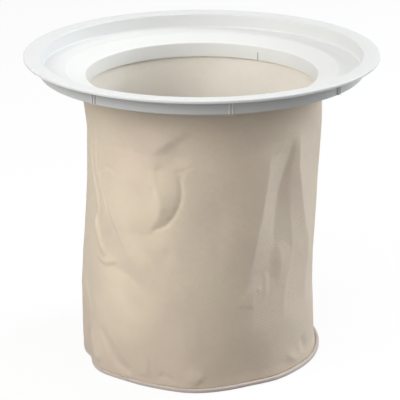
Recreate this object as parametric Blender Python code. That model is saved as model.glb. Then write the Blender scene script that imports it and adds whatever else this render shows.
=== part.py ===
"""Cloth filter bag on a moulded carrier ring, for a canister dust extractor.

Metres, +Z up.  The origin is the middle of the bag's flat bottom, which rests on z = 0,
and the ring's lip is the highest thing.  Every part is a turned ring or strip about +Z.
"""

import math

import bmesh
import bpy
from mathutils import Matrix, Vector

MM = 0.001

# Round parts share one number of sides, so that neighbours keep the same gap all the way round.
SIDES = 72
# Air left between two pieces that touch in the real object.
GAP = 0.3 * MM
# How far a cutting block runs past what it cuts.
CUT_PAST = 2.0 * MM
# Neighbouring faces that meet at more than this stay sharp.
SHARP_ANGLE = math.radians(40.0)

# Carrier ring, one white plastic moulding: lip, outer wall, tray floor, collar.
LIP_RADIUS = 180.0 * MM
LIP_TOP = 320.0 * MM
LIP_DISH = 0.9 * MM
LIP_UNDERSIDE = 318.0 * MM
WALL_INNER_RADIUS = 162.8 * MM
WALL_THICKNESS = 1.8 * MM
FLOOR_TOP = 305.0 * MM
FLOOR_THICKNESS = 2.0 * MM
FLOOR_BEND_RADIUS = 137.0 * MM
FLOOR_FALL = 6.0 * MM
COLLAR_INNER_RADIUS = 118.0 * MM
COLLAR_THICKNESS = 1.9 * MM
COLLAR_BOTTOM = 283.4 * MM
LIP_EDGE_TOP = 0.8 * MM
LIP_EDGE_BOTTOM = 0.6 * MM
LIP_INNER_EDGE = 1.2 * MM
TRAY_CORNER = 1.5 * MM
RIM_EDGE = 1.3 * MM
WALL_FOOT = 0.9 * MM

# Pairs of stiffening fins on the outer wall, at these angles from +X.
FIN_PAIR_ANGLES = [math.radians(turn) for turn in (8.0, 53.0, 98.0, 143.0, 188.0, 231.7, 279.3, 323.0)]
FIN_THICKNESS = 0.9 * MM
FIN_CENTRES_APART = 3.2 * MM
FIN_STANDS_OUT = 1.5 * MM
FIN_FOOT_GAP = 0.3 * MM
FIN_ROOT = 1.0 * MM

# Slit in the collar's skirt.
SLIT_ANGLE = math.radians(59.3)
SLIT_WIDTH = 0.9 * MM
SLIT_HEIGHT = 8.8 * MM

# Cloth of the bag and the cord in its mouth hem.
CLOTH = 0.8 * MM
BODY_RADIUS = 121.6 * MM
CORD_RADIUS = 1.8 * MM
CORD_HEIGHT = 294.7 * MM
HEM_DEPTH = 9.0 * MM
HEM_ARC_STEPS = 7
HEM_PINCH = 4.0 * MM
HEM_ROW_UP = 1.0 * MM
CORD_SIDES = 6

# Side seam: one upright edge of the panel laps over the other.
LAP_ANGLE = math.radians(8.0)
LAP_WIDTH = 12.0 * MM
LAP_BOTTOM = 9.0 * MM
LAP_TOP = 281.0 * MM
LAP_FADE = 0.5 * MM
LAP_EDGE = 0.3 * MM

# Bottom seam: the panel's and the disc's edges lie flat together inside a folded tape.
SEAM_RADIUS = 125.3 * MM
TAPE = 0.6 * MM
TAPE_RADIUS = 126.3 * MM
TAPE_WIDTH = 3.4 * MM
TAPE_CORNER = 0.5 * MM
FLARE_RADIUS = 1.6 * MM
DISC_FLAT_RADIUS = 115.0 * MM
DISC_RISE_RADIUS = 119.0 * MM

# Sewing thread.
THREAD = 0.4 * MM
SEAM_ROWS_APART = 7.0 * MM
SEAM_ROW_MARGIN = 1.0 * MM


def clear_scene():
    for thing in list(bpy.data.objects):
        bpy.data.objects.remove(thing, do_unlink=True)


def material(name, colour, roughness):
    made = bpy.data.materials.new(name)
    made.use_nodes = True
    shader = made.node_tree.nodes["Principled BSDF"]
    shader.inputs["Base Color"].default_value = (*colour, 1.0)
    shader.inputs["Roughness"].default_value = roughness
    shader.inputs["Metallic"].default_value = 0.0
    return made


def rounded(outline, steps=2):
    """Corners (r, z, fillet radius) of a closed outline, each rounded off by its own arc."""
    points = []
    count = len(outline)
    for index, (r, z, fillet) in enumerate(outline):
        corner = Vector((r, z))
        if fillet == 0.0:
            points.append((r, z))
            continue
        to_last = (Vector(outline[index - 1][:2]) - corner).normalized()
        to_next = (Vector(outline[(index + 1) % count][:2]) - corner).normalized()
        half = to_last.angle(to_next) / 2.0
        centre = corner + (to_last + to_next).normalized() * (fillet / math.sin(half))
        start = corner + to_last * (fillet / math.tan(half)) - centre
        end = corner + to_next * (fillet / math.tan(half)) - centre
        for step in range(steps + 1):
            share = step / steps
            spoke = (start * (1.0 - share) + end * share).normalized() * fillet
            points.append((centre.x + spoke.x, centre.y + spoke.y))
    return points


def finish(name, bm, paint):
    """Turns a bmesh into a named object with its faces outward and its round faces smooth."""
    bmesh.ops.recalc_face_normals(bm, faces=bm.faces)
    mesh = bpy.data.meshes.new(name)
    bm.to_mesh(mesh)
    bm.free()
    mesh.materials.append(paint)
    made = bpy.data.objects.new(name, mesh)
    bpy.context.scene.collection.objects.link(made)
    mesh.shade_smooth()
    mesh.set_sharp_from_angle(angle=SHARP_ANGLE)
    return made


def turned_ring(name, outline, paint, columns=None):
    """A closed ring swept about +Z.  Each column is (angle, {point index: extra radius})."""
    if columns is None:
        columns = [(math.tau * side / SIDES, {}) for side in range(SIDES)]
    bm = bmesh.new()
    rows = []
    for angle, extra in columns:
        row = []
        for index, (r, z) in enumerate(outline):
            reach = r + extra.get(index, 0.0)
            row.append(bm.verts.new((reach * math.cos(angle), reach * math.sin(angle), z)))
        rows.append(row)
    for here, row in enumerate(rows):
        other = rows[(here + 1) % len(rows)]
        for index in range(len(outline)):
            after = (index + 1) % len(outline)
            bm.faces.new((row[index], other[index], other[after], row[after]))
    return finish(name, bm, paint)


def turned_disc(name, outline, paint):
    """A solid disc: the outline starts and ends on the axis."""
    bm = bmesh.new()
    bottom = bm.verts.new((0.0, 0.0, outline[0][1]))
    top = bm.verts.new((0.0, 0.0, outline[-1][1]))
    rows = []
    for side in range(SIDES):
        angle = math.tau * side / SIDES
        spots = [(r * math.cos(angle), r * math.sin(angle), z) for r, z in outline[1:-1]]
        rows.append([bm.verts.new(spot) for spot in spots])
    for here, row in enumerate(rows):
        other = rows[(here + 1) % SIDES]
        bm.faces.new((bottom, other[0], row[0]))
        bm.faces.new((top, row[-1], other[-1]))
        for index in range(len(row) - 1):
            bm.faces.new((row[index], other[index], other[index + 1], row[index + 1]))
    return finish(name, bm, paint)


def add_block(bm, angle, inner, outer, across, low, high, width):
    """A box on a spoke of the circle: from inner to outer, across to one side of the spoke."""
    size = Vector((outer - inner, width, high - low))
    middle = Vector(((inner + outer) / 2.0, across, (low + high) / 2.0))
    place = Matrix.Rotation(angle, 4, "Z") @ Matrix.Translation(middle)
    bmesh.ops.create_cube(bm, size=1.0, matrix=place @ Matrix.Diagonal((*size, 1.0)))


def cut_or_join(target, bm, operation, name):
    """Joins a hidden helper mesh to the target, or cuts it out, by a boolean modifier."""
    mesh = bpy.data.meshes.new(name)
    bm.to_mesh(mesh)
    bm.free()
    helper = bpy.data.objects.new(name, mesh)
    bpy.context.scene.collection.objects.link(helper)
    helper.hide_render = True
    helper.display_type = "WIRE"
    step = target.modifiers.new(name, "BOOLEAN")
    step.object = helper
    step.operation = operation
    step.solver = "EXACT"


clear_scene()

plastic = material("ring_plastic", (0.83, 0.83, 0.81), 0.38)
cloth = material("bag_cloth", (0.66, 0.60, 0.50), 0.95)
disc_cloth = material("disc_cloth", (0.66, 0.60, 0.50), 0.95)
tape_cloth = material("binding_tape", (0.78, 0.75, 0.74), 0.85)
cord_fibre = material("hem_cord", (0.75, 0.72, 0.65), 0.9)
thread_fibre = material("sewing_thread", (0.76, 0.72, 0.65), 0.7)

# Carrier ring: the wall drops from the lip to the tray floor, which falls towards the opening,
# and the collar hangs from the opening's rounded rim.
wall_outer = WALL_INNER_RADIUS + WALL_THICKNESS
collar_outer = COLLAR_INNER_RADIUS + COLLAR_THICKNESS
rim_top = FLOOR_TOP - FLOOR_FALL
fall_per_metre = FLOOR_FALL / (FLOOR_BEND_RADIUS - COLLAR_INNER_RADIUS)
floor_underside = FLOOR_TOP - FLOOR_THICKNESS
collar_root = floor_underside - fall_per_metre * (FLOOR_BEND_RADIUS - collar_outer)
ring_outline = rounded([
    (LIP_RADIUS, LIP_TOP + LIP_DISH, LIP_EDGE_TOP),
    (WALL_INNER_RADIUS, LIP_TOP, LIP_INNER_EDGE),
    (WALL_INNER_RADIUS, FLOOR_TOP, TRAY_CORNER),
    (FLOOR_BEND_RADIUS, FLOOR_TOP, 0.0),
    (COLLAR_INNER_RADIUS, rim_top, RIM_EDGE),
    (COLLAR_INNER_RADIUS, COLLAR_BOTTOM, 0.0),
    (collar_outer, COLLAR_BOTTOM, 0.0),
    (collar_outer, collar_root, 0.0),
    (FLOOR_BEND_RADIUS, floor_underside, 0.0),
    (wall_outer, floor_underside, WALL_FOOT),
    (wall_outer, LIP_UNDERSIDE, 0.0),
    (LIP_RADIUS, LIP_UNDERSIDE, LIP_EDGE_BOTTOM),
])
ring = turned_ring("carrier_ring", ring_outline, plastic)

fins = bmesh.new()
for pair_angle in FIN_PAIR_ANGLES:
    for side in (-1.0, 1.0):
        add_block(
            fins, pair_angle, wall_outer - FIN_ROOT, wall_outer + FIN_STANDS_OUT,
            side * FIN_CENTRES_APART / 2.0, floor_underside + FIN_FOOT_GAP,
            LIP_UNDERSIDE + FIN_ROOT, FIN_THICKNESS,
        )
cut_or_join(ring, fins, "UNION", "fin_blocks")

slit = bmesh.new()
add_block(
    slit, SLIT_ANGLE, COLLAR_INNER_RADIUS - CUT_PAST, collar_outer + CUT_PAST, 0.0,
    COLLAR_BOTTOM - CUT_PAST, COLLAR_BOTTOM + SLIT_HEIGHT, SLIT_WIDTH,
)
cut_or_join(ring, slit, "DIFFERENCE", "slit_cutter")

# Cord in the mouth hem: it sits on the collar, right under the tray floor.
cord_orbit = collar_outer + GAP + CLOTH + GAP + CORD_RADIUS
cord_outline = [
    (
        cord_orbit + CORD_RADIUS * math.cos(math.tau * step / CORD_SIDES),
        CORD_HEIGHT + CORD_RADIUS * math.sin(math.tau * step / CORD_SIDES),
    )
    for step in range(CORD_SIDES)
]
turned_ring("mouth_cord", cord_outline, cord_fibre)

# Side panel: up the outside, over the cord, and down again between the body and the collar.
hem_inner_face = collar_outer + GAP
hem_outer_face = hem_inner_face + CLOTH + GAP
body_inner = BODY_RADIUS - CLOTH
hem_end = CORD_HEIGHT - HEM_DEPTH
around_cord = CORD_RADIUS + GAP
over_cord = around_cord + CLOTH


def cord_arc(radius, start, end):
    """Points round the cord from one angle to another."""
    points = []
    for step in range(HEM_ARC_STEPS + 1):
        angle = math.radians(start + (end - start) * step / HEM_ARC_STEPS)
        points.append((cord_orbit + radius * math.cos(angle), CORD_HEIGHT + radius * math.sin(angle)))
    return points


tape_leg_low = TAPE + GAP
disc_edge_top = tape_leg_low + CLOTH
panel_edge_low = disc_edge_top + GAP
panel_edge_top = panel_edge_low + CLOTH
bend_height = panel_edge_top + FLARE_RADIUS
bend_centre = BODY_RADIUS + FLARE_RADIUS
bend_diagonal = FLARE_RADIUS * math.sqrt(0.5)
inner_bend = FLARE_RADIUS + CLOTH

panel_outline = [
    (hem_inner_face, hem_end),
    (hem_inner_face + CLOTH, hem_end),
]
panel_outline += cord_arc(around_cord, 180.0, -40.0)
panel_outline += [
    (hem_outer_face, CORD_HEIGHT - HEM_PINCH),
    (hem_outer_face, hem_end),
    (body_inner, LAP_TOP),
    (body_inner, LAP_BOTTOM),
    (body_inner, bend_height),
    (bend_centre - inner_bend * math.sqrt(0.5), bend_height - inner_bend * math.sqrt(0.5)),
    (bend_centre, panel_edge_low),
    (SEAM_RADIUS, panel_edge_low),
    (SEAM_RADIUS, panel_edge_top),
    (bend_centre, panel_edge_top),
    (bend_centre - bend_diagonal, bend_height - bend_diagonal),
    (BODY_RADIUS, bend_height),
]
lap_start = len(panel_outline)
panel_outline += [
    (BODY_RADIUS, LAP_BOTTOM - LAP_FADE),
    (BODY_RADIUS, LAP_BOTTOM),
    (BODY_RADIUS, LAP_TOP),
    (BODY_RADIUS, LAP_TOP + LAP_FADE),
    (hem_outer_face + CLOTH, hem_end),
    (hem_outer_face + CLOTH, CORD_HEIGHT - HEM_PINCH - CLOTH),
]
panel_outline += cord_arc(over_cord, -50.0, 180.0)
raised = {lap_start + 1: CLOTH, lap_start + 2: CLOTH}
lap_half = LAP_WIDTH / BODY_RADIUS / 2.0
lap_step = LAP_EDGE / BODY_RADIUS
lap_columns = [
    (LAP_ANGLE - lap_half, {}),
    (LAP_ANGLE - lap_half + lap_step, raised),
    (LAP_ANGLE, raised),
    (LAP_ANGLE + lap_half, raised),
    (LAP_ANGLE + lap_half + lap_step, {}),
]
panel_columns = []
for side in range(SIDES):
    angle = math.tau * side / SIDES
    if abs(angle - LAP_ANGLE) > lap_half + lap_step:
        panel_columns.append((angle, {}))
panel_columns = sorted(panel_columns + lap_columns, key=lambda column: column[0])
turned_ring("bag_side_panel", panel_outline, cloth, panel_columns)

# Bottom disc: flat on the ground, its edge lifted into the seam.
turned_disc("bag_bottom_disc", [
    (0.0, 0.0),
    (DISC_FLAT_RADIUS, 0.0),
    (DISC_RISE_RADIUS, tape_leg_low),
    (SEAM_RADIUS, tape_leg_low),
    (SEAM_RADIUS, disc_edge_top),
    (DISC_RISE_RADIUS, disc_edge_top),
    (DISC_FLAT_RADIUS, CLOTH),
    (0.0, CLOTH),
], disc_cloth)

# Binding tape: folded round both edges, open towards the bag.
tape_height = panel_edge_top + GAP + TAPE
tape_mouth = TAPE_RADIUS - TAPE_WIDTH
turned_ring("bottom_binding_tape", rounded([
    (tape_mouth, 0.0, 0.0),
    (TAPE_RADIUS, 0.0, TAPE_CORNER),
    (TAPE_RADIUS, tape_height, TAPE_CORNER),
    (tape_mouth, tape_height, 0.0),
    (tape_mouth, tape_height - TAPE, 0.0),
    (TAPE_RADIUS - TAPE, tape_height - TAPE, 0.0),
    (TAPE_RADIUS - TAPE, TAPE, 0.0),
    (tape_mouth, TAPE, 0.0),
], steps=1), tape_cloth)


def square_outline(r, z):
    """A square of thread with its lower inner corner at r, z."""
    return [(r, z), (r + THREAD, z), (r + THREAD, z + THREAD), (r, z + THREAD)]


# Sewing: a row through the tape, a row through the mouth hem, two rows up the side seam.
stitch_line = TAPE_RADIUS - TAPE_WIDTH / 2.0 - THREAD / 2.0
turned_ring("bottom_stitching", square_outline(stitch_line, tape_height + GAP), thread_fibre)
hem_row = hem_outer_face + CLOTH + GAP
turned_ring("mouth_stitching", square_outline(hem_row, hem_end + HEM_ROW_UP), thread_fibre)
for row_name, side in (("seam_stitching_front", -1.0), ("seam_stitching_back", 1.0)):
    stitch = bmesh.new()
    inner = BODY_RADIUS + CLOTH + GAP
    add_block(
        stitch, LAP_ANGLE, inner, inner + THREAD, side * SEAM_ROWS_APART / 2.0,
        LAP_BOTTOM + SEAM_ROW_MARGIN, LAP_TOP - SEAM_ROW_MARGIN, THREAD,
    )
    finish(row_name, stitch, thread_fibre)
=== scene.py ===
import math
import random

import bmesh
import bpy
import numpy as np
from mathutils import Euler, Matrix, Vector


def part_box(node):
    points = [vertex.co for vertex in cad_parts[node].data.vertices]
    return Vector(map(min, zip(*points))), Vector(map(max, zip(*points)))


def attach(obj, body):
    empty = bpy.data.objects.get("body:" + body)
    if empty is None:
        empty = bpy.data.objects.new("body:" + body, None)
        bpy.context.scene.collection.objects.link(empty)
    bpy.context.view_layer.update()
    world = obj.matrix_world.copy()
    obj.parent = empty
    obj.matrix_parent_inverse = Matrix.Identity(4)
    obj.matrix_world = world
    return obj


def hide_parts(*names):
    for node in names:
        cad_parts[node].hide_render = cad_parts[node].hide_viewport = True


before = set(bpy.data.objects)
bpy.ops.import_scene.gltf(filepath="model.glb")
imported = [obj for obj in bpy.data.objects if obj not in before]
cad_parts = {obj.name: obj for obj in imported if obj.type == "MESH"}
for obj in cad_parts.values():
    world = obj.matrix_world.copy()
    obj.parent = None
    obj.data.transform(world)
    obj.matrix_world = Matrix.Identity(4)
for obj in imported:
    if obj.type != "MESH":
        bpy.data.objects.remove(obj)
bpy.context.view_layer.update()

scene = bpy.context.scene
mm = 0.001


# ---- Carrier ring -----------------------------------------------------------------------------
# One injection moulding in white plastic: a flat lip that hangs on the tank's rim, an outer wall
# with pairs of stiffening fins, a tray floor that falls towards the opening, and a collar with
# one slit that carries the bag.

ring_low, ring_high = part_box("carrier_ring")
lip_radius = ring_high.x
lip_rise = 0.9 * mm
lip_top = ring_high.z - lip_rise
lip_underside = 318.0 * mm
wall_inner = 162.8 * mm
wall_outer = 164.6 * mm
floor_top = 305.0 * mm
floor_underside = 303.0 * mm
floor_bend = 137.0 * mm
collar_inner = 118.0 * mm
collar_outer = 119.9 * mm
collar_bottom = ring_low.z


def rounded_outline(corners, steps=5):
    """Corners (r, z, fillet) of a closed section, each rounded by its own arc."""
    points = []
    for index, (r, z, fillet) in enumerate(corners):
        corner = Vector((r, z))
        if fillet == 0.0:
            points.append((r, z))
            continue
        before = (Vector(corners[index - 1][:2]) - corner).normalized()
        after = (Vector(corners[(index + 1) % len(corners)][:2]) - corner).normalized()
        half = before.angle(after) / 2.0
        centre = corner + (before + after).normalized() * (fillet / math.sin(half))
        first = corner + before * (fillet / math.tan(half)) - centre
        last = corner + after * (fillet / math.tan(half)) - centre
        for step in range(steps + 1):
            spoke = first.lerp(last, step / steps).normalized() * fillet
            points.append((centre.x + spoke.x, centre.y + spoke.y))
    return points


def new_piece(name, mesh):
    """A piece in the scene, with its place in its mesh."""
    piece = bpy.data.objects.new(name, mesh)
    scene.collection.objects.link(piece)
    return piece


def piece_from(bm, name):
    """A piece made of what was built in bm."""
    mesh = bpy.data.meshes.new(name)
    bm.to_mesh(mesh)
    bm.free()
    return new_piece(name, mesh)


def mesh_of(name, points, faces, sharp_degrees=40.0):
    """A smooth-shaded mesh whose faces point outwards."""
    mesh = bpy.data.meshes.new(name)
    mesh.from_pydata([tuple(p) for p in points], [], faces)
    mesh.validate()
    bm = bmesh.new()
    bm.from_mesh(mesh)
    bmesh.ops.recalc_face_normals(bm, faces=bm.faces)
    bm.to_mesh(mesh)
    bm.free()
    mesh.shade_smooth()
    mesh.set_sharp_from_angle(angle=math.radians(sharp_degrees))
    return mesh


def baked(piece, name):
    """The piece with its modifiers made part of a plain mesh, as a new piece."""
    evaluated = piece.evaluated_get(bpy.context.evaluated_depsgraph_get())
    mesh = bpy.data.meshes.new_from_object(evaluated)
    mesh.name = name
    bpy.data.objects.remove(piece, do_unlink=True)
    return new_piece(name, mesh)


def hoop_faces(sides, span):
    """Faces of a closed section of so many points, carried round the axis."""
    faces = []
    for side in range(sides):
        here, there = side * span, (side + 1) % sides * span
        for step in range(span):
            after = (step + 1) % span
            faces.append((here + step, there + step, there + after, here + after))
    return faces


ring_section = rounded_outline([
    (lip_radius, lip_top + lip_rise, 0.8 * mm),
    (wall_inner, lip_top, 1.3 * mm),
    (wall_inner, floor_top, 1.8 * mm),
    (floor_bend + 1.5 * mm, floor_top, 3.0 * mm),
    (collar_inner, 299.0 * mm, 1.4 * mm),
    (collar_inner, collar_bottom, 0.4 * mm),
    (collar_outer, collar_bottom, 0.4 * mm),
    (collar_outer, 297.2 * mm, 0.6 * mm),
    (floor_bend, floor_underside, 0.0),
    (wall_outer, floor_underside, 0.9 * mm),
    (wall_outer, lip_underside, 0.5 * mm),
    (lip_radius, lip_underside, 0.7 * mm),
])
ring_sides = 288
ring_points = []
for side in range(ring_sides):
    turn = math.tau * side / ring_sides
    for r, z in ring_section:
        ring_points.append((r * math.cos(turn), r * math.sin(turn), z))
ring_faces = hoop_faces(ring_sides, len(ring_section))
ring_blank = new_piece("ring_blank", mesh_of("ring_blank", ring_points, ring_faces))

# Fins in eight pairs round the wall, with their edges broken as a mould leaves them.
fin_turns = (8.0, 53.0, 98.0, 143.0, 188.0, 231.7, 279.3, 323.0)
fins_apart = 3.2 * mm
fin_thickness = 0.9 * mm
fin_bm = bmesh.new()
for turn in fin_turns:
    for across in (-fins_apart / 2, fins_apart / 2):
        low, high = 303.3 * mm, 318.4 * mm
        place = (
            Matrix.Rotation(math.radians(turn), 4, "Z")
            @ Matrix.Translation((wall_outer + 0.25 * mm, across, (low + high) / 2))
            @ Matrix.Diagonal((2.5 * mm, fin_thickness, high - low, 1.0))
        )
        bmesh.ops.create_cube(fin_bm, size=1.0, matrix=place)
bmesh.ops.bevel(fin_bm, geom=fin_bm.edges[:], offset=0.2 * mm, segments=2, affect="EDGES")
fins = piece_from(fin_bm, "fins")

# Slit from the collar's foot, part of the way up.
slit_bm = bmesh.new()
slit_place = (
    Matrix.Rotation(math.radians(59.3), 4, "Z")
    @ Matrix.Translation((collar_inner, 0.0, collar_bottom + 3.4 * mm))
    @ Matrix.Diagonal((8.0 * mm, 0.9 * mm, 10.8 * mm, 1.0))
)
bmesh.ops.create_cube(slit_bm, size=1.0, matrix=slit_place)
slit = piece_from(slit_bm, "slit")
for tool, operation in ((fins, "UNION"), (slit, "DIFFERENCE")):
    step = ring_blank.modifiers.new(tool.name, "BOOLEAN")
    step.object = tool
    step.operation = operation
    step.solver = "EXACT"
bpy.context.view_layer.update()
ring = baked(ring_blank, "carrier_ring_moulding")
for tool in (fins, slit):
    bpy.data.objects.remove(tool, do_unlink=True)
ring.data.shade_smooth()
ring.data.set_sharp_from_angle(angle=math.radians(40.0))


def shader_group(name, inputs, outputs):
    """An empty shader node group with named sockets."""
    group = bpy.data.node_groups.new(name, "ShaderNodeTree")
    for label, kind, value in inputs:
        socket = group.interface.new_socket(name=label, in_out="INPUT", socket_type=kind)
        if value is not None:
            socket.default_value = value
    for label, kind in outputs:
        group.interface.new_socket(name=label, in_out="OUTPUT", socket_type=kind)
    return group, group.nodes.new("NodeGroupInput"), group.nodes.new("NodeGroupOutput")


def math_node(tree, operation, first, second=None):
    """A Math node fed by sockets or plain numbers."""
    node = tree.nodes.new("ShaderNodeMath")
    node.operation = operation
    for socket, value in zip(node.inputs, (first, second)):
        if value is None:
            continue
        if isinstance(value, (int, float)):
            socket.default_value = value
        else:
            tree.links.new(value, socket)
    return node.outputs[0]


def noise(tree, vector, scale, detail=2.0, roughness=0.5):
    """A noise texture on a vector, as its value."""
    node = tree.nodes.new("ShaderNodeTexNoise")
    tree.links.new(vector, node.inputs["Vector"])
    node.inputs["Scale"].default_value = scale
    node.inputs["Detail"].default_value = detail
    node.inputs["Roughness"].default_value = roughness
    return node.outputs["Fac"]


def remapped(tree, value, low, high, to_low, to_high):
    """A value stretched from one range to another and kept inside it."""
    node = tree.nodes.new("ShaderNodeMapRange")
    tree.links.new(value, node.inputs["Value"])
    for label, number in zip(("From Min", "From Max", "To Min", "To Max"), (low, high, to_low, to_high)):
        node.inputs[label].default_value = number
    return node.outputs["Result"]


def axes_of(tree, vector):
    """The X, Y and Z of a vector, as sockets."""
    node = tree.nodes.new("ShaderNodeSeparateXYZ")
    tree.links.new(vector, node.inputs["Vector"])
    return node.outputs


def blended(tree, share, first, second):
    """Two colours mixed by a share."""
    node = tree.nodes.new("ShaderNodeMix")
    node.data_type = "RGBA"
    tree.links.new(share, node.inputs["Factor"])
    for socket, colour in ((node.inputs["A"], first), (node.inputs["B"], second)):
        if isinstance(colour, tuple):
            socket.default_value = (*colour, 1.0)
        else:
            tree.links.new(colour, socket)
    return node.outputs["Result"]


def bumped(tree, height, strength, distance, shader):
    """A height that bends the shader's normal."""
    node = tree.nodes.new("ShaderNodeBump")
    node.inputs["Strength"].default_value = strength
    node.inputs["Distance"].default_value = distance
    tree.links.new(height, node.inputs["Height"])
    tree.links.new(node.outputs["Normal"], shader.inputs["Normal"])


def new_material(name, roughness, **constants):
    """A material with its Principled shader and its own object coordinates."""
    made = bpy.data.materials.new(name)
    made.use_nodes = True
    shader = made.node_tree.nodes["Principled BSDF"]
    shader.inputs["Roughness"].default_value = roughness
    shader.inputs["Metallic"].default_value = 0.0
    for label, value in constants.items():
        shader.inputs[label.replace("_", " ")].default_value = value
    place = made.node_tree.nodes.new("ShaderNodeTexCoord")
    return made, made.node_tree, shader, place


plastic, tree, shader, place = new_material("white moulded plastic", 0.4, Coat_Roughness=0.3)
shader.inputs["IOR"].default_value = 1.49
flow = noise(tree, place.outputs["Object"], 9.0, 3.0)
fine = noise(tree, place.outputs["Object"], 900.0, 2.0, 0.6)
tint = blended(tree, remapped(tree, flow, 0.35, 0.65, 0.0, 1.0), (0.79, 0.79, 0.775), (0.755, 0.76, 0.755))
# The wall and lip are painted a little greyer than the tray: painted shade, standing in for the tray floor
# being more brightly lit.
axes = axes_of(tree, place.outputs["Object"])
squares = [math_node(tree, "MULTIPLY", axes[axis], axes[axis]) for axis in ("X", "Y")]
from_axis = math_node(tree, "SQRT", math_node(tree, "ADD", *squares))
wall_and_lip_painted_shade = remapped(tree, from_axis, wall_inner - 12 * mm, wall_inner - 1 * mm, 0.0, 1.0)
tint = blended(tree, wall_and_lip_painted_shade, tint, (0.70, 0.705, 0.70))
# The outer face under the lip is painted darker, as painted shade from the lip's overhang, and the fins'
# edges on it are painted paler, as painted highlights.
below_lip = math_node(tree, "LESS_THAN", axes["Z"], 317.6 * mm)
outer_face = math_node(tree, "GREATER_THAN", from_axis, wall_outer - 0.4 * mm)
# Painted shade on the outer face under the lip.
tint = blended(tree, math_node(tree, "MULTIPLY", outer_face, below_lip), tint, (0.60, 0.605, 0.60))
# Painted highlights on the fins' edges.
past_wall = math_node(tree, "GREATER_THAN", from_axis, wall_outer + 0.6 * mm)
fin_edge_painted_highlight = math_node(tree, "MULTIPLY", past_wall, below_lip)
tree.links.new(blended(tree, fin_edge_painted_highlight, tint, (0.86, 0.86, 0.85)), shader.inputs["Base Color"])
tree.links.new(remapped(tree, flow, 0.3, 0.7, 0.36, 0.46), shader.inputs["Roughness"])
bumped(tree, fine, 0.25, 0.00012, shader)
ring.data.materials.clear()
ring.data.materials.append(plastic)
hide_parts("carrier_ring")
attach(ring, "root")


# ---- Mouth cord -------------------------------------------------------------------------------
# A closed cord inside the folded hem. It grips the collar right under the tray floor, so the
# cloth swells out there. It is hidden by the hem and keeps its plain shape.

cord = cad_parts["mouth_cord"]
cord_fibre, tree, shader, place = new_material("braided cord", 0.9)
strands = noise(tree, place.outputs["Object"], 420.0, 2.0)
tree.links.new(
    blended(tree, remapped(tree, strands, 0.35, 0.65, 0.0, 1.0), (0.66, 0.62, 0.55), (0.78, 0.75, 0.69)),
    shader.inputs["Base Color"],
)
bumped(tree, strands, 0.6, 0.0004, shader)
cord.data.materials.clear()
cord.data.materials.append(cord_fibre)


# ---- Side panel of the bag --------------------------------------------------------------------
# A strip of cream filter cloth rolled into a tube, lapped and sewn up one side, folded over the
# cord at the mouth and turned out into the seam at the bottom. It hangs slack from the collar
# and stands on its seam, so it sags, creases and leans a little.

cloth_thickness = 0.8
body_radius = 121.6
per_degree = body_radius * math.pi / 180
cord_low, cord_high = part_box("mouth_cord")
cord_radius = (cord_high.z - cord_low.z) / 2 / mm
cord_orbit = cord_high.x / mm - cord_radius
cord_height = (cord_high.z + cord_low.z) / 2 / mm
hem_end = 285.7
lap_azimuth = 98.0
lap_half = 6.0 / per_degree


def smooth(low, high, value):
    """0 below low, 1 above high and an even ease between."""
    share = np.clip((value - low) / (high - low), 0.0, 1.0)
    return share * share * (3.0 - 2.0 * share)


def hump(value, centre, width):
    """A soft bump, 1 at its centre."""
    return np.exp(-(((value - centre) / width) ** 2))


def wrapped(azimuth):
    """An azimuth from the front, from -180 to 180 degrees."""
    return (azimuth + 180.0) % 360.0 - 180.0


def lean(height):
    """How far the slack tube stands to +X at a height, in millimetres."""
    return np.interp(
        height,
        [0, 14, 47, 72, 107, 133, 160, 187, 213, 246, 262, 275, 284],
        [-1.6, -3.2, -4.7, -5.6, -4.4, -2.4, -0.7, 0.4, 1.5, 2.6, 1.7, 0.6, 0.0],
    )


def girth(height):
    """Mean radius of the slack tube at a height, in millimetres."""
    return np.interp(
        height,
        [0, 14, 47, 72, 107, 133, 160, 187, 213, 246, 262, 275, 284],
        [124.2, 123.5, 122.7, 122.1, 121.2, 120.7, 120.4, 119.9, 120.2, 120.6, 121.4, 121.8, 122.1],
    )


def seam_pull(azimuth):
    """How far the bottom seam is drawn in or out of round, in millimetres."""
    azimuth = wrapped(azimuth)
    return (
        4.6 * hump(azimuth, -54, 10) - 2.6 * hump(azimuth, -70, 5) + 2.8 * hump(azimuth, -5, 11)
        - 3.4 * hump(azimuth, 24, 12) - 1.2 * hump(azimuth, 50, 12) - 1.2 * np.sin(np.radians(azimuth))
        - 1.5 * hump(azimuth, 150, 20) - 1.2 * hump(azimuth, -140, 24)
    )


# The tube is cut a little longer and wider than the place it hangs in, so it buckles. A cloth
# simulation on a coarse tube settles those slack folds.
slack_columns, slack_rows = 120, 64
slack_top, slack_bottom = 284.0, 5.0
cut_wider, cut_longer = 1.015, 1.045
twist = 6.0
settle_frames = 30


def uneven(azimuth, height):
    """Slow uneven waves that start the slack folds, in millimetres."""
    maker = random.Random(3)
    total = np.zeros(np.shape(azimuth))
    for offset in range(0, 140, 10):
        turns, climb = maker.randint(2, 11), maker.uniform(-0.06, 0.06)
        phase = maker.uniform(0, math.tau)
        total = total + np.sin(np.radians(azimuth + offset) * turns + height * climb + phase)
    return 0.8 * total * np.sin(math.pi * (slack_top - height) / (slack_top - slack_bottom))


def tube_faces(rows, columns):
    """Faces of an open tube of points, row after row."""
    faces = []
    for row in range(rows - 1):
        for column in range(columns):
            after = (column + 1) % columns
            faces.append((
                row * columns + column, (row + 1) * columns + column,
                (row + 1) * columns + after, row * columns + after,
            ))
    return faces


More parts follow.
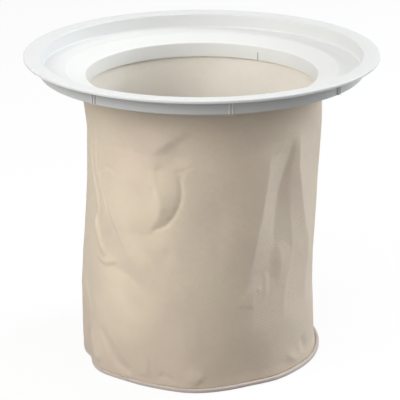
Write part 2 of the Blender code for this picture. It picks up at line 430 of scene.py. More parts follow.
def slack_folds():
    """Radial shift of the coarse tube's points after the cloth has settled, in millimetres."""
    heights = np.linspace(slack_top, slack_bottom, slack_rows)
    azimuths = np.arange(slack_columns) * 360.0 / slack_columns
    height, azimuth = np.meshgrid(heights, azimuths, indexing="ij")
    shift = uneven(azimuth, height)
    down = (slack_top - height) / (slack_top - slack_bottom)
    angle = np.radians(azimuth + twist * down)
    radius = body_radius + shift
    start = np.stack([radius * np.sin(angle), -radius * np.cos(angle), height], axis=-1) * mm
    angle = np.radians(azimuth)
    wide = body_radius * cut_wider
    cut_height = slack_top - (slack_top - height) * cut_longer
    cut = np.stack([wide * np.sin(angle), -wide * np.cos(angle), cut_height], axis=-1) * mm
    faces = tube_faces(slack_rows, slack_columns)
    mesh = bpy.data.meshes.new("slack_tube")
    mesh.from_pydata(start.reshape(-1, 3).tolist(), [], faces)
    tube = new_piece("slack_tube", mesh)
    tube.shape_key_add(name="hung")
    cut_key = tube.shape_key_add(name="cut")
    cut_key.data.foreach_set("co", cut.reshape(-1).astype(np.float32))
    cut_key.value = 0.0
    held = tube.vertex_groups.new(name="held")
    edge_rows = list(range(2)) + list(range(slack_rows - 2, slack_rows))
    held_points = [row * slack_columns + column for row in edge_rows for column in range(slack_columns)]
    held.add(held_points, 1.0, "REPLACE")
    cloth = tube.modifiers.new("cloth", "CLOTH")
    cloth.settings.quality = 6
    cloth.settings.mass = 0.01
    cloth.settings.tension_stiffness = 15.0
    cloth.settings.compression_stiffness = 15.0
    cloth.settings.shear_stiffness = 5.0
    cloth.settings.bending_stiffness = 0.3
    cloth.settings.air_damping = 2.0
    cloth.settings.vertex_group_mass = "held"
    cloth.settings.rest_shape_key = cut_key
    cloth.settings.effector_weights.gravity = 0.0
    cloth.collision_settings.use_collision = False
    cloth.point_cache.frame_end = settle_frames
    for frame_number in range(1, settle_frames + 1):
        scene.frame_set(frame_number)
    settled = tube.evaluated_get(bpy.context.evaluated_depsgraph_get()).data
    points = np.empty(slack_rows * slack_columns * 3, dtype=np.float32)
    settled.vertices.foreach_get("co", points)
    bpy.data.objects.remove(tube, do_unlink=True)
    scene.frame_set(1)
    points = points.reshape(slack_rows, slack_columns, 3) / mm
    return np.hypot(points[:, :, 0], points[:, :, 1]) - body_radius


settled_folds = slack_folds()


def cubic_shares(t):
    """Weights of four neighbours for a smooth curve through them."""
    return (
        (-0.5 * t + t**2 - 0.5 * t**3), (1.0 - 2.5 * t**2 + 1.5 * t**3),
        (0.5 * t + 2.0 * t**2 - 1.5 * t**3), (-0.5 * t**2 + 0.5 * t**3),
    )


def slack_at(azimuth, height):
    """The settled folds, read smoothly at any azimuth and height."""
    column = (azimuth % 360.0) / 360.0 * slack_columns
    row = (slack_top - height) / (slack_top - slack_bottom) * (slack_rows - 1)
    row = np.clip(row, 0.0, slack_rows - 1.0)
    first_column, first_row = np.floor(column).astype(int), np.floor(row).astype(int)
    total = np.zeros(np.shape(azimuth))
    for down, row_share in enumerate(cubic_shares(row - first_row)):
        rows_here = np.clip(first_row + down - 1, 0, slack_rows - 1)
        for along, column_share in enumerate(cubic_shares(column - first_column)):
            columns_here = (first_column + along - 1) % slack_columns
            total = total + row_share * column_share * settled_folds[rows_here, columns_here]
    return total


creases = []


def crease(line, rise, left, right, fall=1.5, start=0.3, end=0.4, blunt=0.6):
    """One crease: its line from the top down (azimuth from the front in degrees, height in mm),
    how far it stands out, how wide its left and right flanks are and how steeply they fall,
    and over what share of its length it fades in and out."""
    creases.append((line, rise, left, right, fall, start, end, blunt))


# Slanting ledge under the mouth, left of the middle, and the folds that fan out beside it.
crease([(-5, 280), (-12, 268), (-19, 257), (-25, 248)], 1.6, 40, 7, fall=1.1, start=0.2, end=0.3, blunt=0.4)
crease([(-10, 271), (-19, 257), (-26, 246), (-31, 237)], 1.7, 44, 16, fall=1.0, start=0.4, end=0.2, blunt=0.4)
crease([(-42, 273), (-38, 255), (-34, 242)], -0.9, 12, 5, start=0.2, end=0.4)
crease([(-56, 276), (-55, 250), (-51, 232)], 1.4, 8, 12, start=0.25, end=0.4)
crease([(-22, 238), (-21, 224), (-24, 208)], -0.6, 7, 10, fall=1.8)

# Curved line at the foot of the swelling at mid height, and the small folds about it.
crease([(-8, 230), (-11, 224), (-10, 214), (-10, 205), (-11, 195), (-13, 185), (-17, 174), (-24, 167)],
       -1.2, 5, 1.6, fall=1.0, start=0.1, end=0.1, blunt=0.1)
crease([(1, 243), (-5, 238), (-10, 231), (-14, 228)], -0.7, 4, 2.5, fall=1.1, start=0.4, end=0.1, blunt=0.3)
crease([(0, 246), (-6, 239), (-12, 233)], 0.5, 3, 9, start=0.4, end=0.2)
crease([(-25, 215), (-23, 209), (-23, 203)], -0.9, 2.2, 3, fall=1.2, blunt=0.3)
crease([(-57, 223), (-51, 222), (-46, 220), (-41, 215)], -0.8, 2.5, 5, fall=1.2, blunt=0.3)

# A broad soft belly under that swelling, where the slack cloth settles.
crease([(-66, 178), (-50, 170), (-36, 168), (-22, 173)], 4.5, 90, 62, fall=1.3, start=0.4, end=0.3, blunt=9.0)

# Two long thin creases down the left, the second with a raised right side.
crease([(-66, 268), (-70, 230), (-68, 210), (-61, 187), (-58, 176), (-57, 154)],
       -2.2, 3.5, 2, fall=1.0, start=0.12, end=0.2, blunt=0.2)
crease([(-62, 270), (-64, 232), (-62, 211), (-55, 197), (-50, 183), (-46, 173)],
       -2.1, 2.8, 2, fall=1.0, start=0.12, end=0.2, blunt=0.2)
crease([(-60, 240), (-60, 212), (-53, 198), (-48, 182), (-42, 164), (-36, 138), (-27, 115)],
       1.8, 4, 32, fall=1.2, start=0.3, end=0.5, blunt=1.0)
crease([(-60, 216), (-57, 206), (-54, 199)], 1.0, 2.5, 2, fall=1.1, blunt=0.3)

# Standing pleat low on the left, with its foot turned to the right.
crease([(-62, 167), (-58, 156), (-54, 143), (-50, 128)],
       3.0, 9, 2.6, fall=1.0, start=0.2, end=0.25, blunt=0.3)
crease([(-57, 130), (-54, 124), (-50, 122), (-46, 125), (-42, 131)],
       1.4, 3, 14, fall=1.0, start=0.25, end=0.3)
crease([(-52, 130), (-43, 120), (-34, 116), (-27, 103), (-21, 90), (-18, 72)],
       -2.2, 24, 22, fall=1.8, end=0.5)

# Folds that turn round the bottom corner on the left.
crease([(-82, 100), (-69, 84), (-62, 66), (-62, 49), (-63, 33)], -1.5, 7, 3, fall=1.2, start=0.3, end=0.1)
crease([(-63, 36), (-60, 27), (-57, 18), (-53, 9)], 2.0, 3.5, 14, fall=1.1, start=0.15, end=0.2)
crease([(-56, 52), (-51, 43), (-46, 28), (-42, 18), (-34, 7)], -2.0, 7, 10, fall=1.2, start=0.25, end=0.1)
crease([(-24, 38), (-25, 26), (-26, 8)], 1.0, 10, 3, fall=1.3, start=0.5, end=0.2)
crease([(-19, 17), (-15, 9)], -1.0, 7, 7)
crease([(-14, 17), (-12, 5)], -0.8, 3, 3)
crease([(-9, 16), (-7, 4)], -0.9, 3, 3)
crease([(3, 24), (0, 13), (-4, 5)], 1.8, 15, 4, fall=1.3, start=0.5, end=0.15)

# Small folds at the foot of the tall facets on the right.
crease([(41, 150), (43, 136), (44, 122), (43, 108), (41, 96)],
       1.8, 12, 15, fall=1.0, start=0.3, end=0.5, blunt=0.5)
crease([(34, 122), (35, 109), (35, 87)], 0.6, 4, 4, fall=1.1, start=0.2, end=0.4)
crease([(30, 106), (31, 98)], 0.7, 2.5, 2.5)
crease([(18, 92), (23, 89), (29, 87)], 0.6, 4, 22, fall=1.0, start=0.3, end=0.3)
crease([(46, 25), (52, 14), (57, 5)], 1.7, 11, 9, start=0.5, end=0.2)
crease([(60, 34), (63, 20), (63, 9)], -2.0, 9, 9, start=0.4)

# Soft hollows and swellings between them.
crease([(5, 226), (9, 180), (8, 130)], -1.2, 34, 30, fall=2.0, start=0.5, end=0.5)
crease([(-9, 80), (-6, 50), (-5, 25)], 1.0, 26, 26, fall=1.8, start=0.5, end=0.5)
crease([(-17, 158), (-16, 144), (-14, 130)], -1.0, 14, 14, fall=1.8, start=0.5, end=0.5)

# Creases of the same kind round the back.
picker = random.Random(11)
for azimuth in range(112, 256, 12):
    top = picker.uniform(130, 272)
    bottom = max(12, top - picker.uniform(45, 120))
    drift, bend = picker.uniform(-13, 13), picker.uniform(-5, 5)
    line = [(azimuth, top), (azimuth + drift / 2 + bend, (top + bottom) / 2), (azimuth + drift, bottom)]
    rise = picker.choice([-1, 1, 1]) * picker.uniform(1.0, 3.0)
    crease(line, rise, picker.uniform(8, 24), picker.uniform(4, 12), fall=picker.uniform(1.0, 1.4), start=0.3)


def crease_height(azimuth, height, one):
    """How far one crease lifts the cloth at each point, in millimetres."""
    line, rise, left, right, fall, fade_in, fade_out, blunt = one
    middle = sum(point[0] for point in line) / len(line)
    across = wrapped(azimuth - middle) * per_degree
    knots = [((point[0] - middle) * per_degree, point[1]) for point in line]
    lengths = [math.dist(p, q) for p, q in zip(knots, knots[1:])]
    total = sum(lengths)
    best = np.full(azimuth.shape, 1e9)
    side = np.ones(azimuth.shape)
    along = np.zeros(azimuth.shape)
    gone = 0.0
    for (x0, y0), (x1, y1), length in zip(knots, knots[1:], lengths):
        dx, dy = (x1 - x0) / length, (y1 - y0) / length
        t = np.clip((across - x0) * dx + (height - y0) * dy, 0.0, length)
        px, py = across - (x0 + t * dx), height - (y0 + t * dy)
        distance = np.hypot(px, py)
        nearer = distance < best
        best = np.where(nearer, distance, best)
        side = np.where(nearer, np.sign(dx * (height - y0) - dy * (across - x0)), side)
        along = np.where(nearer, (gone + t) / total, along)
        gone += length
    best = np.sqrt(best * best + blunt * blunt) - blunt
    width = np.where(side > 0, right, left)
    flank = np.clip(1.0 - best / width, 0.0, 1.0) ** fall
    return rise * flank * smooth(0.0, fade_in, along) * smooth(0.0, fade_out, 1.0 - along)


# A broad swelling at mid height on the left, with a steep right flank. Its left edge, its crest and
# the foot of its flank run down the tube through points of azimuth, height and shift in mm.
swelling_corners = [
    [(-66, 262, 0), (-62, 160, 0)],
    [(-22, 246, 0), (-24, 231, 2), (-22, 216, 5), (-20, 205, 6), (-19, 195, 5.8), (-20, 184, 4.2),
     (-23, 174, 2), (-27, 163, 0)],
    [(-6, 246, 0), (-8, 230, 0), (-11, 224, 0), (-10, 214, 0), (-10, 205, 0), (-11, 195, 0), (-13, 185, 0),
     (-17, 174, 0), (-24, 163, 0)],
]

# On the right the slack has dented into tall flat facets, drawn by the corners between them.
facet_corners = [
    [(0, 270, 0), (-2, 200, 0), (-4, 130, 0), (-6, 70, 0)],
    [(43, 256, 0), (37, 249, 1), (32, 242, 2), (31, 224, 3), (30, 203, 3), (29, 183, 3), (27, 163, 3),
     (26, 142, 2), (25, 124, 1), (22, 100, 0)],
    [(47, 256, 0), (46, 241, -3), (44, 221, -6), (41, 202, -7), (40, 181, -7), (39, 160, -6),
     (39, 144, -5), (38, 134, -5), (35, 129, -4), (31, 119, -3), (27, 100, 0)],
    [(49, 258, 0), (49, 241, -1), (48, 221, -3), (48, 202, -4), (49, 181, -4), (50, 160, -3), (52, 139, -2),
     (50, 115, -1), (46, 85, 0)],
    [(51, 264, 0), (52, 239, 0), (53, 223, -1), (55, 206, -1), (57, 192, -1), (59, 177, -1), (61, 165, -1),
     (63, 153, -1), (66, 139, 0), (69, 115, 0), (66, 85, 0), (67, 61, 0)],
    [(88, 264, 0), (88, 60, 0)],
]


def corner_shift(corners, azimuth, height):
    """Shift from round between corner lines, in millimetres: it eases up to the second line and
    runs straight from each line to the next."""
    flat = smooth(272.0, 240.0, height) * smooth(50.0, 90.0, height)
    turns, shifts = [], []
    for corner in corners:
        turn, level, shift = zip(*corner[::-1])
        turns.append(np.interp(height, level, turn))
        shifts.append(np.interp(height, level, shift))
    total = np.zeros(azimuth.shape)
    across = wrapped(azimuth)
    for k in range(len(turns) - 1):
        wide = turns[k + 1] - turns[k]
        share = (across - turns[k]) / wide
        off_middle = np.radians((share - 0.5) * wide)
        chord = body_radius * (np.cos(np.radians(wide / 2)) / np.cos(off_middle) - 1.0)
        straight = shifts[k] * (1.0 - share) + shifts[k + 1] * share + flat * chord
        eased = shifts[k + 1] * share * share
        total = np.where((share >= 0) & (share < 1), straight if k else eased, total)
    return total


def panel_surface(azimuth, height):
    """Outer face of the hanging tube, in millimetres, from azimuth and height."""
    azimuth, height = np.broadcast_arrays(np.asarray(azimuth, float), np.asarray(height, float))
    free = smooth(284, 268, height) * smooth(3.0, 16.0, height)
    slack_share = 0.12 + 0.7 * smooth(95.0, 130.0, np.abs(wrapped(azimuth)))
    radius = girth(height) + slack_share * free * slack_at(azimuth, height)
    for corners in (swelling_corners, facet_corners):
        radius = radius + free * corner_shift(corners, azimuth, height)
    for one in creases:
        radius = radius + free * crease_height(azimuth, height, one)
    on_lap = np.abs(wrapped(azimuth - lap_azimuth)) < lap_half
    radius = radius + cloth_thickness * on_lap * smooth(5.0, 9.0, height) * smooth(283.0, 280.0, height)
    radius = radius + seam_pull(azimuth) * smooth(70.0, 0.0, height)
    angle = np.radians(azimuth)
    return radius * np.sin(angle) + lean(height), -radius * np.cos(angle), height


def spaced_columns(first, last, gap):
    """Azimuths from first up to but not including last, about gap millimetres apart."""
    return np.linspace(first, last, round((last - first) * per_degree / gap), endpoint=False)


# The cloth is meshed finer where it is creased most. The first column is at the lap's edge.
step_width = 0.07
lap_start, lap_end = lap_azimuth - lap_half, lap_azimuth + lap_half
columns = np.concatenate([
    spaced_columns(lap_end + step_width, 280.0, 3.2),
    spaced_columns(280.0, 330.0, 1.3),
    spaced_columns(330.0, 422.0, 1.8),
    spaced_columns(422.0, lap_start + 360.0 - step_width, 3.2),
    [lap_start + 360.0 - step_width],
    spaced_columns(lap_start + 360.0 + step_width, lap_end + 360.0 - step_width, 3.0),
    [lap_end + 360.0 - step_width],
])
if len(columns) % 2:
    columns = np.delete(columns, 10)
angles = np.radians(columns)

hem_arc = np.radians(np.linspace(180.0, -46.0, 15))
hem_slack = 0.3
hem_arc_radius = cord_radius + hem_slack + cloth_thickness
section = [(cord_orbit - hem_arc_radius, h) for h in (hem_end, 288.0, 291.0)]
for a in hem_arc:
    section.append((cord_orbit + hem_arc_radius * math.cos(a), cord_height + hem_arc_radius * math.sin(a)))
rows = [(r * np.sin(angles), -r * np.cos(angles), np.full(columns.shape, h)) for r, h in section]
hanging_heights = np.linspace(288.0, 4.4, 177)
rows += [panel_surface(columns, np.full(columns.shape, h)) for h in hanging_heights]
foot_x, foot_y = rows[-1][0], rows[-1][1]
foot_base = np.hypot(foot_x, foot_y)
for out, h in ((-0.05, 3.7), (0.35, 3.15), (1.0, 2.85), (1.9, 2.8), (2.9, 2.8), (3.7, 2.8)):
    share = smooth(-0.4, 1.0, np.array(out))
    radius = foot_base * (1 - share) + (body_radius + seam_pull(columns) + out) * share
    rows.append((radius * np.sin(angles), -radius * np.cos(angles), np.full(columns.shape, h)))
outer = np.stack([np.stack(row, axis=-1) for row in rows])
around = np.roll(outer, -1, axis=1) - np.roll(outer, 1, axis=1)
downward = np.gradient(outer, axis=0)
outward = np.cross(downward, around)
outward /= np.linalg.norm(outward, axis=2, keepdims=True)
inner = (outer - outward * cloth_thickness)[::2, ::2]

row_count, column_count = outer.shape[:2]
inner_rows, inner_columns = inner.shape[:2]
first_inner = row_count * column_count
panel_points = np.concatenate([outer.reshape(-1, 3), inner.reshape(-1, 3)]) * mm
panel_faces = tube_faces(row_count, column_count)
for row in range(inner_rows - 1):
    for column in range(inner_columns):
        after = (column + 1) % inner_columns
        here = first_inner + row * inner_columns
        below = here + inner_columns
        panel_faces.append((here + column, here + after, below + after, below + column))
for outer_row, inner_row in ((0, 0), (row_count - 1, inner_rows - 1)):
    for column in range(inner_columns):
        edge = outer_row * column_count
        near, middle, far = (edge + (2 * column + step) % column_count for step in range(3))
        here = first_inner + inner_row * inner_columns
        rim = (near, middle, far, here + (column + 1) % inner_columns, here + column)
        panel_faces.append(rim if outer_row == 0 else rim[::-1])
panel_mesh = bpy.data.meshes.new("bag_side_panel_cloth")
panel_mesh.from_pydata(panel_points.tolist(), [], panel_faces)

# The cloth's own flat coordinates, in metres, run from the lap round the tube and down.
run_down = np.concatenate([[0.0], np.cumsum(np.linalg.norm(np.diff(outer[:, 0], axis=0), axis=1))]) * mm
run_round = np.radians(columns - columns[0]) * body_radius * mm
full_turn = math.tau * body_radius * mm
flat_map = panel_mesh.uv_layers.new(name="flat cloth")
corner_points = np.empty(len(panel_mesh.loops), dtype=np.int32)
panel_mesh.loops.foreach_get("vertex_index", corner_points)
on_inner = corner_points >= first_inner
inner_points = corner_points - first_inner
corner_rows = np.where(on_inner, inner_points // inner_columns * 2, corner_points // column_count)
corner_columns = np.where(on_inner, inner_points % inner_columns * 2, corner_points % column_count)
face_starts = np.empty(len(panel_mesh.polygons), dtype=np.int32)
panel_mesh.polygons.foreach_get("loop_start", face_starts)
face_of_corner = np.repeat(np.arange(len(face_starts)), np.diff(np.append(face_starts, len(corner_points))))
last_column = np.maximum.reduceat(corner_columns, face_starts)[face_of_corner]
u = run_round[corner_columns] + full_turn * ((corner_columns == 0) & (last_column > column_count - 4))
flat_map.data.foreach_set("uv", np.stack([u, -run_down[corner_rows]], axis=-1).reshape(-1).astype(np.float32))
panel_mesh.shade_smooth()
panel_mesh.set_sharp_from_angle(angle=math.radians(50.0))
panel = new_piece("bag_side_panel_cloth", panel_mesh)

# Twill: two sets of threads whose crossings step along a slant, with slubs and a soft nap.
weave, weave_in, weave_out = shader_group(
    "twill weave",
    [("Vector", "NodeSocketVector", None), ("Threads per Metre", "NodeSocketFloat", 900.0),
     ("Slub", "NodeSocketFloat", 0.5)],
    [("Height", "NodeSocketFloat"), ("Tone", "NodeSocketFloat")],
)


def times(first, second):
    """A product in the weave's group."""
    return math_node(weave, "MULTIPLY", first, second)


def plus(first, second):
    """A sum in the weave's group."""
    return math_node(weave, "ADD", first, second)


def ripple(turns, rate=1.0):
    """A sine wave over so many full turns."""
    return math_node(weave, "SINE", times(turns, math.tau * rate))


split = axes_of(weave, weave_in.outputs["Vector"])
warp = times(split["X"], weave_in.outputs["Threads per Metre"])
weft = times(split["Y"], weave_in.outputs["Threads per Metre"])
slub = noise(weave, weave_in.outputs["Vector"], 160.0, 3.0)
rib = ripple(plus(plus(warp, times(weft, 0.7)), times(slub, weave_in.outputs["Slub"])))
# Every third rib or so stands a little prouder, on a flatter slant.
proud = ripple(plus(times(warp, 0.2), times(weft, 0.33)))
threads = times(ripple(warp, 1.5), ripple(weft, 1.5))
height = plus(plus(rib, times(threads, 0.4)), times(proud, 0.3))
weave.links.new(height, weave_out.inputs["Height"])
tone = plus(times(rib, 0.25), slub)
weave.links.new(tone, weave_out.inputs["Tone"])


def cloth_material(name, light, dark, coordinates, threads_per_metre, depth, yellow_lit_patches=()):
    """Woven cloth: colour that drifts a little, thread tone and the weave's relief. Cloth given patches
    has them yellower, as the cloth's own tint, and lighter, as painted light where it faces the lights;
    each is given by its middle and its reach in metres. That cloth is also darker towards the bottom."""
    made, tree, shader, place = new_material(name, 0.92, Sheen_Weight=0.25, Sheen_Roughness=0.5)
    shader.inputs["Specular IOR Level"].default_value = 0.2
    group = tree.nodes.new("ShaderNodeGroup")
    group.node_tree = weave
    tree.links.new(place.outputs[coordinates], group.inputs["Vector"])
    group.inputs["Threads per Metre"].default_value = threads_per_metre
    patches = noise(tree, place.outputs["Object"], 14.0, 4.0, 0.55)
    mixed = math_node(tree, "ADD", math_node(tree, "MULTIPLY", patches, 0.65),
                      math_node(tree, "MULTIPLY", group.outputs["Tone"], 0.3))
    colour = blended(tree, remapped(tree, mixed, 0.3, 0.65, 0.0, 1.0), dark, light)
    if yellow_lit_patches:
        axes = axes_of(tree, place.outputs["Object"])
        # Darker towards the bottom.
        darker_low_down = remapped(tree, axes["Z"], 0.02, 0.12, 0.55, 0.0)
        colour = blended(tree, darker_low_down, colour, (0.69, 0.565, 0.455))
    blotches = noise(tree, place.outputs["Object"], 30.0, 2.0, 0.5)
    # Each patch is yellower, the cloth's own tint, and lighter, painted light on the swelling that faces the
    # lights.
    for middle, span in yellow_lit_patches:
        away = tree.nodes.new("ShaderNodeVectorMath")
        away.operation = "DISTANCE"
        tree.links.new(place.outputs["Object"], away.inputs[0])
        away.inputs[1].default_value = middle
        near = remapped(tree, away.outputs["Value"], 0.1 * span, span, 1.0, 0.0)
        patch = math_node(tree, "MULTIPLY", near, remapped(tree, blotches, 0.3, 0.62, 0.4, 1.0))
        colour = blended(tree, patch, colour, (0.92, 0.79, 0.61))
    tree.links.new(colour, shader.inputs["Base Color"])
    crumple = math_node(tree, "MULTIPLY", noise(tree, place.outputs["Object"], 34.0, 3.0, 0.5), 9.0)
    bumped(tree, math_node(tree, "ADD", group.outputs["Height"], crumple), depth, 0.0001, shader)
    return made


# Patches of yellower tint that are also painted lighter, as painted light on the swelling at mid height.
yellow_lit_patch_spots = [
    ((-0.057, -0.112, 0.192), 0.056), ((-0.086, -0.082, 0.128), 0.026), ((-0.06, -0.105, 0.148), 0.04),
    ((-0.08, -0.09, 0.085), 0.05),
]
filter_cloth = cloth_material(
    "cream filter cloth", (0.805, 0.695, 0.54), (0.77, 0.635, 0.525), "UV", 900.0, 0.9, yellow_lit_patch_spots)
# The inner face is painted paler than the outer: painted light, standing in for the light that reaches inside
# the bag.
inner_cloth_painted_lighter = cloth_material(
    "cream filter cloth, inner face", (0.90, 0.86, 0.79), (0.87, 0.82, 0.74), "UV", 900.0, 0.9)
panel.data.materials.append(filter_cloth)
panel.data.materials.append(inner_cloth_painted_lighter)
face_indices = np.arange(len(panel_mesh.polygons))
outer_faces = (row_count - 1) * column_count
inner_faces = (inner_rows - 1) * inner_columns
on_inside = (face_indices >= outer_faces) & (face_indices < outer_faces + inner_faces)
panel_mesh.polygons.foreach_set("material_index", on_inside.astype(np.int32))
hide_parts("bag_side_panel")
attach(panel, "root")


# ---- Bottom disc ------------------------------------------------------------------------------
# A round of the same cloth. Its middle lies flat on what the bag stands on, and its edge is
# lifted into the seam, where it puckers a little.

disc_columns = 160
disc_radii = [4, 12, 22, 34, 46, 58, 70, 80, 88, 95, 101, 106, 110, 113.5, 116, 118, 119.5, 121, 123, 125.3]
disc_points = [(0.0, 0.0, 0.55 * mm)]
for r in disc_radii:
    for column in range(disc_columns):
        azimuth = 360.0 * column / disc_columns
        pull = float(seam_pull(azimuth))
        lift = float(smooth(108.0, 119.0, np.array(r))) * 0.9
        crumple = 0.55 * (1 + math.sin(math.radians(azimuth) * 5 + r * 0.09) * math.sin(r * 0.06 + 1.0))
        crumple *= float(smooth(0.0, 30.0, np.array(r)) * smooth(118.0, 100.0, np.array(r)))
        pucker = 0.25 * math.sin(math.radians(azimuth) * 40) * float(hump(np.array(r), 117.0, 4.0))
        reach = (r + pull * float(smooth(60.0, 119.0, np.array(r)))) * mm
        angle = math.radians(azimuth)
        disc_points.append((
            reach * math.sin(angle), -reach * math.cos(angle), max(0.0, lift + crumple + pucker) * mm))
disc_faces = []
for column in range(disc_columns):
    after = (column + 1) % disc_columns
    disc_faces.append((0, 1 + column, 1 + after))
    for ring_index in range(len(disc_radii) - 1):
        inner = 1 + ring_index * disc_columns
        outer = inner + disc_columns
        disc_faces.append((inner + column, outer + column, outer + after, inner + after))
disc_mesh = bpy.data.meshes.new("bag_bottom_cloth")
disc_mesh.from_pydata(disc_points, [], disc_faces)
disc_mesh.shade_smooth()
disc = new_piece("bag_bottom_cloth", disc_mesh)
wall = disc.modifiers.new("cloth thickness", "SOLIDIFY")
wall.thickness = cloth_thickness * mm
wall.offset = 1.0
disc_cloth = cloth_material(
    "cream bottom cloth", (0.80, 0.665, 0.535), (0.755, 0.62, 0.495), "Object", 900.0, 0.5)
disc.data.materials.append(disc_cloth)
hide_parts("bag_bottom_disc")
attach(disc, "root")


# ---- Binding tape -----------------------------------------------------------------------------
# A narrow off-white woven tape, folded over the raw edges of the panel and the disc and sewn
# through. It is drawn in a little at each stitch.

tape_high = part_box("bottom_binding_tape")[1]
tape_out = tape_high.x / mm
tape_top = tape_high.z / mm
stitch_pitch = 3.8
tape_turns = round(math.tau * tape_out / stitch_pitch)
tape_in = tape_out - 3.4
tape_thickness = 0.6
fold_in = tape_out - tape_thickness
tape_section = rounded_outline([
    (tape_in, 0.0, 0.2), (tape_out, 0.0, 0.9), (tape_out, tape_top, 0.9), (tape_in, tape_top, 0.2),
    (tape_in, tape_top - tape_thickness, 0.2), (fold_in, tape_top - tape_thickness, 0.3),
    (fold_in, tape_thickness, 0.3), (tape_in, tape_thickness, 0.2),
], steps=3)
tape_columns = tape_turns * 3
tape_points = []
for column in range(tape_columns):
    azimuth = 360.0 * column / tape_columns
    pull = float(seam_pull(azimuth))
    drawn = 0.14 * math.cos(math.radians(azimuth) * tape_turns)
    angle = math.radians(azimuth)
    for r, z in tape_section:
        low_share = z / tape_top
        reach = (r + pull - (0.1 + drawn) * (r > tape_out - 1.2) * 0.5) * mm
        tape_points.append((reach * math.sin(angle), -reach * math.cos(angle), (z + drawn * low_share) * mm))
tape_faces = hoop_faces(tape_columns, len(tape_section))
tape_mesh = mesh_of("bottom_binding_tape_woven", tape_points, tape_faces, 60)
tape = new_piece("bottom_binding_tape_woven", tape_mesh)
# The tape's colour is painted darker than its own off-white, as painted shade at the foot of the bag.
tape_cloth_painted_shade = cloth_material(
    "off-white binding tape", (0.635, 0.545, 0.49), (0.59, 0.51, 0.47), "Object", 1300.0, 0.4)
tape.data.materials.append(tape_cloth_painted_shade)
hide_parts("bottom_binding_tape")
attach(tape, "root")


# ---- Sewing -----------------------------------------------------------------------------------
# Off-white thread: one row through the tape, one round the mouth hem, two up the side seam. Each
# stitch is a short tight strand that dips into the cloth at both ends.

stitch_row = bpy.data.node_groups.new("stitch row", "GeometryNodeTree")
for label, kind, value in (
    ("Geometry", "NodeSocketGeometry", None), ("Pitch", "NodeSocketFloat", 0.0038),
    ("Stitch Length", "NodeSocketFloat", 0.003), ("Thread Radius", "NodeSocketFloat", 0.00024),
    ("Material", "NodeSocketMaterial", None),
):
    socket = stitch_row.interface.new_socket(name=label, in_out="INPUT", socket_type=kind)
    if value is not None:
        socket.default_value = value
stitch_row.interface.new_socket(name="Geometry", in_out="OUTPUT", socket_type="NodeSocketGeometry")


def geo(kind, **settings):
    node = stitch_row.nodes.new(kind)
    for label, value in settings.items():
        setattr(node, label, value)
    return node


def join(source, target):
    stitch_row.links.new(source, target)


row_in, row_out = geo("NodeGroupInput"), geo("NodeGroupOutput")
spaced = geo("GeometryNodeResampleCurve", mode="LENGTH")
join(row_in.outputs["Geometry"], spaced.inputs["Curve"])
join(row_in.outputs["Pitch"], spaced.inputs["Length"])
half = math_node(stitch_row, "MULTIPLY", row_in.outputs["Stitch Length"], 0.5)
start_point, end_point = geo("ShaderNodeCombineXYZ"), geo("ShaderNodeCombineXYZ")
join(math_node(stitch_row, "MULTIPLY", half, -1.0), start_point.inputs["Z"])
join(half, end_point.inputs["Z"])
strand = geo("GeometryNodeCurvePrimitiveLine")
join(start_point.outputs[0], strand.inputs["Start"])
join(end_point.outputs[0], strand.inputs["End"])
strand_points = geo("GeometryNodeResampleCurve", mode="COUNT")
strand_points.inputs["Count"].default_value = 5
join(strand.outputs["Curve"], strand_points.inputs["Curve"])
parameter = geo("GeometryNodeSplineParameter")
arch = math_node(stitch_row, "MULTIPLY", parameter.outputs["Factor"], math.pi)
plump = math_node(stitch_row, "MAXIMUM", math_node(stitch_row, "SINE", arch), 0.35)
strand_radius = geo("GeometryNodeSetCurveRadius")
join(strand_points.outputs["Curve"], strand_radius.inputs["Curve"])
join(plump, strand_radius.inputs["Radius"])
thread_ring = geo("GeometryNodeCurvePrimitiveCircle", mode="RADIUS")
thread_ring.inputs["Resolution"].default_value = 6
join(row_in.outputs["Thread Radius"], thread_ring.inputs["Radius"])
tube = geo("GeometryNodeCurveToMesh")
tube.inputs["Fill Caps"].default_value = True
join(strand_radius.outputs["Curve"], tube.inputs["Curve"])
join(thread_ring.outputs["Curve"], tube.inputs["Profile Curve"])
tangent = geo("GeometryNodeInputTangent")
aim = geo("FunctionNodeAlignRotationToVector", axis="Z")
join(tangent.outputs[0], aim.inputs["Vector"])
placed = geo("GeometryNodeInstanceOnPoints")
join(spaced.outputs["Curve"], placed.inputs["Points"])
join(tube.outputs["Mesh"], placed.inputs["Instance"])
join(aim.outputs[0], placed.inputs["Rotation"])
real = geo("GeometryNodeRealizeInstances")
join(placed.outputs[0], real.inputs[0])
soft = geo("GeometryNodeSetShadeSmooth")
join(real.outputs[0], soft.inputs[0])
painted = geo("GeometryNodeSetMaterial")
join(soft.outputs[0], painted.inputs["Geometry"])
join(row_in.outputs["Material"], painted.inputs["Material"])
join(painted.outputs[0], row_out.inputs[0])

thread, tree, shader, place = new_material("sewing thread", 0.7, Sheen_Weight=0.2)
twist = noise(tree, place.outputs["Object"], 1800.0, 2.0)
tree.links.new(
    blended(tree, remapped(tree, twist, 0.35, 0.65, 0.0, 1.0), (0.72, 0.68, 0.61), (0.84, 0.80, 0.74)),
    shader.inputs["Base Color"],
)
bumped(tree, twist, 0.5, 0.0001, shader)


